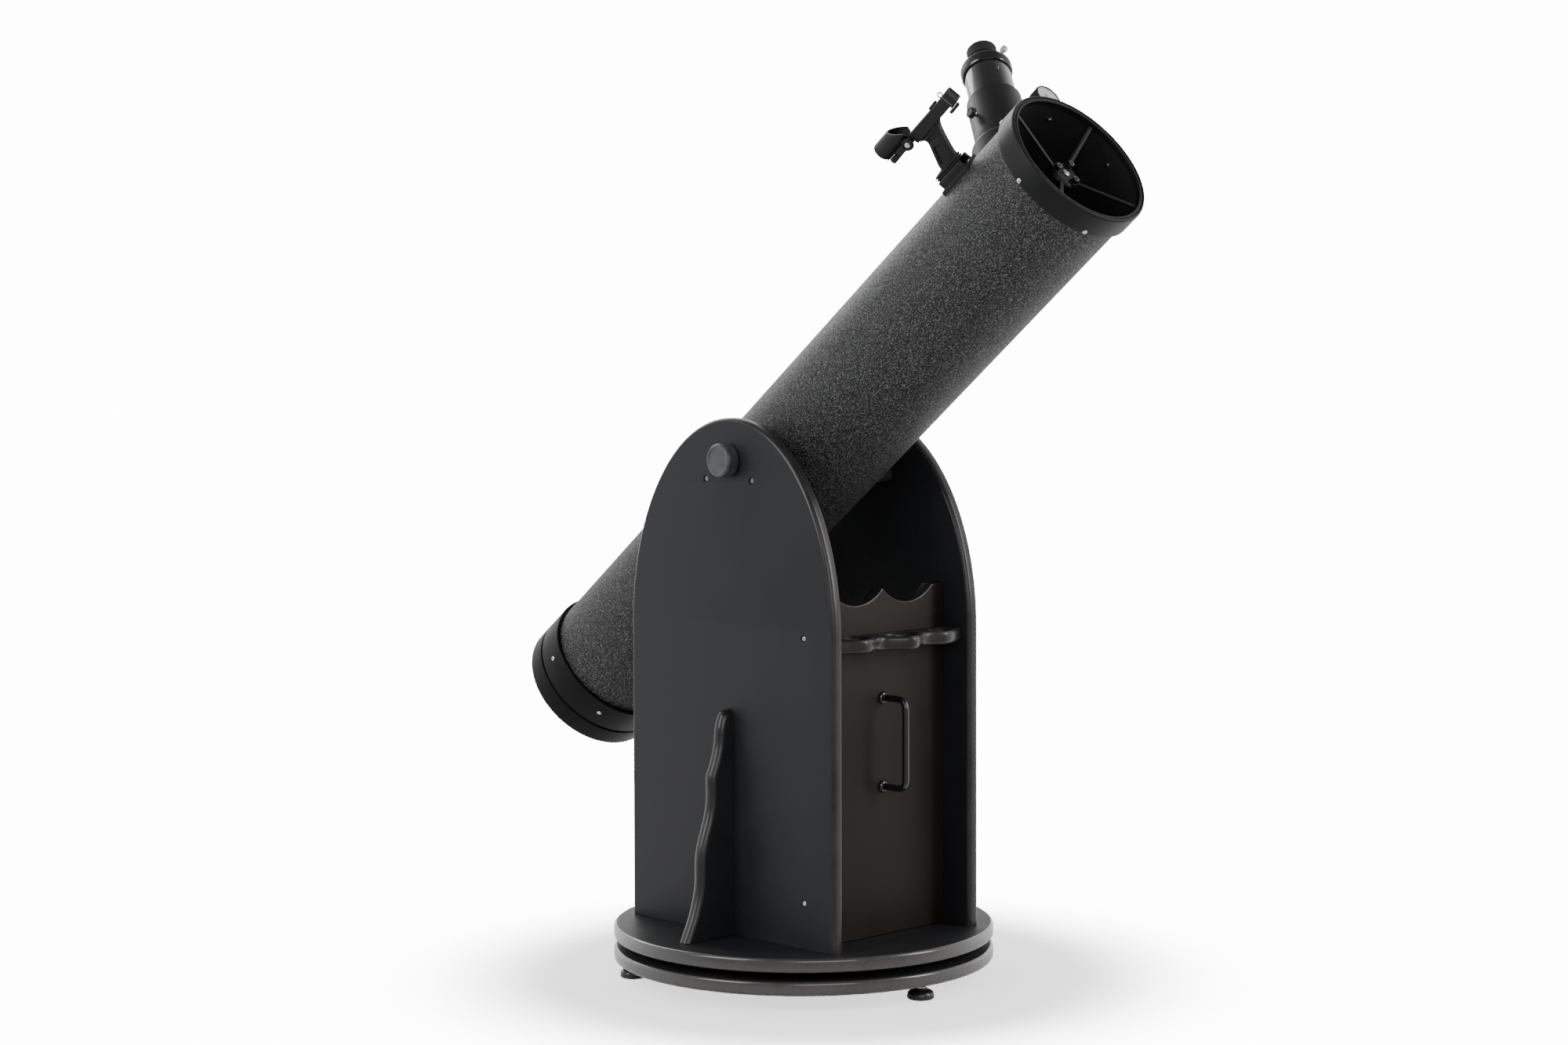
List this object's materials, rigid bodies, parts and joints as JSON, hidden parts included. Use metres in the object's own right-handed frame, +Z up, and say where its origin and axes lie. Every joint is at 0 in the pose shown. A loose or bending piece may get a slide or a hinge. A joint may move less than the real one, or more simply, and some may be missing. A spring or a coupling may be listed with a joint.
{
  "type": "dobsonian telescope",
  "caption": "Newtonian reflector tube on a rocker box with a turning round base, rack-and-pinion focuser, finder, eyepiece shelf and carry handle.",
  "frame": {"origin": "on the floor, at the centre of the object's footprint box at rest; the vertical azimuth axis is 22 mm behind it, at x = 0, y = 0.022", "axes": "+Z up; -Y is the side that the tube's open end and the front board face; +X is the focuser's side"},
  "size_m": [0.494, 1.0109, 1.2015],
  "materials": {
    "laminate": "low-sheen black laminate on particle board, semi-gloss rounded edges",
    "foot_rubber": "matte",
    "eyecup_rubber": "matte",
    "zinc_steel": "bright zinc",
    "white_nylon": "satin",
    "bearing_black": "satin",
    "tube_coat": "black and grey speckled texture coat",
    "ring_black": "satin black",
    "mirror_coat": "polished",
    "bare_aluminium": "machined",
    "focuser_black": "satin black",
    "gloss_black": "gloss black",
    "handle_black": "satin black",
    "finder_black": "fine matte texture",
    "knob_grey": "satin dark grey",
    "thumbscrew_chrome": "polished",
    "lens_glass": "coated"
  },
  "bodies": {
    "ground": {"ground_board": "laminate", "foot_1": "foot_rubber", "foot_2": "foot_rubber", "foot_3": "foot_rubber", "lower_race": "zinc_steel", "pivot_bolt": "zinc_steel", "pivot_nut": "zinc_steel"},
    "roller_cage": {"roller_cage": "white_nylon"},
    "rocker": {"turntable_board": "laminate", "upper_race": "zinc_steel", "side_panel_left": "laminate", "side_panel_right": "laminate", "front_board": "laminate", "stiffening_rib_left": "laminate", "stiffening_rib_right": "laminate", "eyepiece_rack": "laminate", "carry_handle": "handle_black", "bearing_pad_left_front": "white_nylon", "bearing_pad_left_rear": "white_nylon", "bearing_pad_right_front": "white_nylon", "bearing_pad_right_rear": "white_nylon"},
    "tube": {"main_tube": "tube_coat", "front_ring": "ring_black", "altitude_bearing_left": "bearing_black", "altitude_bearing_right": "bearing_black", "mirror_cell": "ring_black", "mirror_carrier": "bare_aluminium", "primary_mirror": "mirror_coat", "secondary_spider": "ring_black", "secondary_holder": "ring_black", "secondary_mirror": "mirror_coat", "focuser_base": "focuser_black", "focuser_body": "focuser_black", "pinion_bracket": "focuser_black", "finder_shoe": "finder_black", "finder_stalk": "finder_black"},
    "tension_knob_left": {"tension_knob_left": "knob_grey"},
    "tension_knob_right": {"tension_knob_right": "knob_grey"},
    "collimation_knob_1": {"collimation_knob_1": "zinc_steel"},
    "collimation_knob_2": {"collimation_knob_2": "zinc_steel"},
    "collimation_knob_3": {"collimation_knob_3": "zinc_steel"},
    "drawtube": {"drawtube": "gloss_black", "eyepiece_collar": "focuser_black"},
    "eyepiece": {"eyepiece_body": "focuser_black", "eyecup": "eyecup_rubber", "eye_lens": "lens_glass"},
    "eyepiece_thumbscrew": {"eyepiece_thumbscrew": "thumbscrew_chrome"},
    "focus_shaft": {"pinion_shaft": "zinc_steel", "focus_knob_front": "knob_grey", "focus_knob_rear": "knob_grey"},
    "focus_lock_screw": {"focus_lock_screw": "focuser_black"},
    "finder_bar": {"finder_bar": "finder_black"},
    "finder_hood": {"finder_hood": "finder_black", "finder_lens": "lens_glass"},
    "finder_azimuth_wheel": {"finder_azimuth_wheel": "knob_grey"},
    "finder_elevation_wheel": {"finder_elevation_wheel": "knob_grey"},
    "finder_power_knob": {"finder_power_knob": "knob_grey"},
    "finder_clamp_screw": {"finder_clamp_screw": "finder_black"}
  },
  "joints": [
    {"name": "azimuth_turn", "type": "hinge", "parent": "ground", "child": "rocker", "pos_m": [0, 0.022, 0.05], "axis": [0, 0, 1], "continuous": true},
    {"name": "roller_cage_turn", "type": "hinge", "parent": "ground", "child": "roller_cage", "pos_m": [0, 0.022, 0.044], "axis": [0, 0, 1], "continuous": true},
    {"name": "altitude_tilt", "type": "hinge", "parent": "rocker", "child": "tube", "pos_m": [0, 0.022, 0.6703], "axis": [-1, 0, 0], "range_deg": [-38.2, 51.8]},
    {"name": "tension_knob_left_turn", "type": "hinge", "parent": "tube", "child": "tension_knob_left", "pos_m": [-0.14, 0.022, 0.6703], "axis": [-1, 0, 0], "range_deg": [-180, 360]},
    {"name": "tension_knob_right_turn", "type": "hinge", "parent": "tube", "child": "tension_knob_right", "pos_m": [0.14, 0.022, 0.6703], "axis": [1, 0, 0], "range_deg": [-180, 360]},
    {"name": "collimation_knob_1_turn", "type": "hinge", "parent": "tube", "child": "collimation_knob_1", "pos_m": [0, 0.47673, 0.38627], "axis": [0, 0.7859, -0.6184], "range_deg": [-360, 360]},
    {"name": "collimation_knob_2_turn", "type": "hinge", "parent": "tube", "child": "collimation_knob_2", "pos_m": [-0.05023, 0.42293, 0.3179], "axis": [0, 0.7859, -0.6184], "range_deg": [-360, 360]},
    {"name": "collimation_knob_3_turn", "type": "hinge", "parent": "tube", "child": "collimation_knob_3", "pos_m": [0.05023, 0.42293, 0.3179], "axis": [0, 0.7859, -0.6184], "range_deg": [-360, 360]},
    {"name": "focus_slide", "type": "slide", "parent": "tube", "child": "drawtube", "axis": [0.3907, 0.5692, 0.7234], "range_m": [-0.045, 0.025]},
    {"name": "eyepiece_lift", "type": "slide", "parent": "drawtube", "child": "eyepiece", "axis": [0.3907, 0.5692, 0.7234], "range_m": [0, 0.04]},
    {"name": "eyepiece_thumbscrew_turn", "type": "hinge", "parent": "drawtube", "child": "eyepiece_thumbscrew", "pos_m": [0.10114, -0.228, 1.17874], "axis": [-0.0802, -0.7618, 0.6428], "range_deg": [-90, 360]},
    {"name": "focus_knob_turn", "type": "hinge", "parent": "tube", "child": "focus_shaft", "pos_m": [0.10478, -0.2619, 1.08733], "axis": [0, 0.7859, -0.6184], "range_deg": [-405, 225]},
    {"name": "focus_lock_turn", "type": "hinge", "parent": "tube", "child": "focus_lock_screw", "pos_m": [0.02882, -0.2507, 1.10157], "axis": [-0.9205, 0.2416, 0.3071], "range_deg": [-90, 360]},
    {"name": "finder_pan", "type": "hinge", "parent": "tube", "child": "finder_bar", "pos_m": [-0.09328, -0.29084, 1.074], "axis": [-0.6018, 0.4939, 0.6276], "range_deg": [-1.5, 1.5]},
    {"name": "finder_pitch", "type": "hinge", "parent": "finder_bar", "child": "finder_hood", "pos_m": [-0.0987, -0.2695, 1.06635], "axis": [0.7986, 0.3722, 0.4729], "range_deg": [-1.5, 1.5]},
    {"name": "finder_azimuth_wheel_turn", "type": "hinge", "parent": "finder_bar", "child": "finder_azimuth_wheel", "pos_m": [-0.09087, -0.32779, 1.09901], "axis": [-0.6018, 0.4939, 0.6276], "range_deg": [-180, 180]},
    {"name": "finder_elevation_wheel_turn", "type": "hinge", "parent": "finder_hood", "child": "finder_elevation_wheel", "pos_m": [-0.099, -0.23947, 1.04323], "axis": [-0.6018, 0.4939, 0.6276], "range_deg": [-180, 180]},
    {"name": "finder_power_turn", "type": "hinge", "parent": "finder_hood", "child": "finder_power_knob", "pos_m": [-0.10858, -0.26861, 1.05697], "axis": [-0.7986, -0.3722, -0.4729], "range_deg": [0, 270]},
    {"name": "finder_clamp_turn", "type": "hinge", "parent": "tube", "child": "finder_clamp_screw", "pos_m": [-0.04511, -0.2886, 1.03319], "axis": [0.7986, 0.3722, 0.4729], "range_deg": [-90, 360]}
  ],
  "couplings": [
    {"joint": "roller_cage_turn", "follows": "azimuth_turn", "ratio": 0.5},
    {"joint": "focus_knob_turn", "follows": "focus_slide", "rad_per_m": 156.25},
    {"joint": "finder_azimuth_wheel_turn", "follows": "finder_pan", "ratio": 120},
    {"joint": "finder_elevation_wheel_turn", "follows": "finder_pitch", "ratio": 120}
  ]
}
